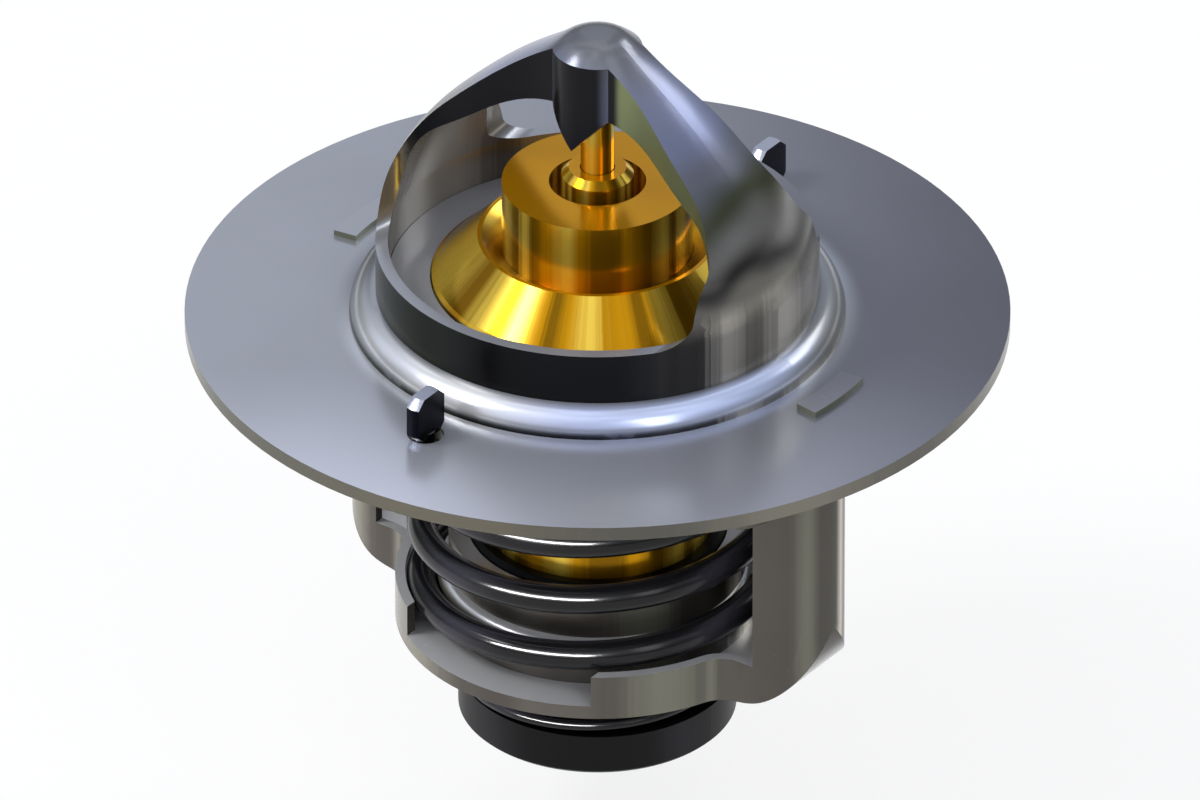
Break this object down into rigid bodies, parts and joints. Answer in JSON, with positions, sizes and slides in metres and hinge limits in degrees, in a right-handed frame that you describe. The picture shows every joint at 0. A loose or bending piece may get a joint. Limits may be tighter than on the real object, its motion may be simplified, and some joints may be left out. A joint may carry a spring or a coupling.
{
  "type": "engine thermostat",
  "caption": "Wax-element coolant thermostat with a bypass valve: round flange, domed bridge, brass valve, main spring in a drawn lower frame.",
  "frame": {"origin": "on the axis, in the top face of the flange", "axes": "+Z along the axis, from the engine side towards the domed bridge; X through the two legs and the arms of the bridge; Y through the two air-bleed pins"},
  "size_m": [0.056, 0.056, 0.0533],
  "materials": {
    "bright_steel": "satin pressed steel",
    "brass": "bright turned brass",
    "gilt_steel": "polished, straw coloured",
    "black_spring_steel": "glossy black",
    "black_coating": "satin black",
    "dark_steel": "dark bright steel",
    "rubber": "matt",
    "wax": "waxy"
  },
  "bodies": {
    "housing": {"flange_bridge": "bright_steel", "seat_ring": "bright_steel", "lower_frame": "bright_steel", "piston": "gilt_steel", "main_spring": "black_spring_steel"},
    "valve": {"valve_cone": "brass", "valve_seal": "rubber", "valve_plate": "bright_steel", "element_boss": "brass", "guide_collar": "brass", "piston_seal": "rubber", "rubber_sleeve": "rubber", "wax_charge": "wax", "element_body": "brass", "element_case": "black_coating", "spring_ring": "black_spring_steel", "bypass_stem": "bright_steel", "stem_clip": "black_spring_steel", "bypass_spring": "black_spring_steel"},
    "bypass_valve": {"bypass_cap": "black_coating"},
    "air_pin_front": {"air_pin_a": "dark_steel", "pin_weight_a": "dark_steel"},
    "air_pin_back": {"air_pin_b": "dark_steel", "pin_weight_b": "dark_steel"}
  },
  "joints": [
    {"name": "valve_slide", "type": "slide", "parent": "housing", "child": "valve", "axis": [0, 0, -1], "range_m": [0, 0.008], "stiffness_N_per_m": 4000, "springref_m": -0.006, "deforming": ["main_spring"]},
    {"name": "bypass_slide", "type": "slide", "parent": "valve", "child": "bypass_valve", "axis": [0, 0, 1], "range_m": [0, 0.0015], "stiffness_N_per_m": 1500, "springref_m": -0.003, "deforming": ["bypass_spring"]},
    {"name": "air_pin_front_lift", "type": "slide", "parent": "housing", "child": "air_pin_front", "axis": [0, 0, 1], "range_m": [0, 0.0012]},
    {"name": "air_pin_back_lift", "type": "slide", "parent": "housing", "child": "air_pin_back", "axis": [0, 0, 1], "range_m": [0, 0.0012]}
  ]
}
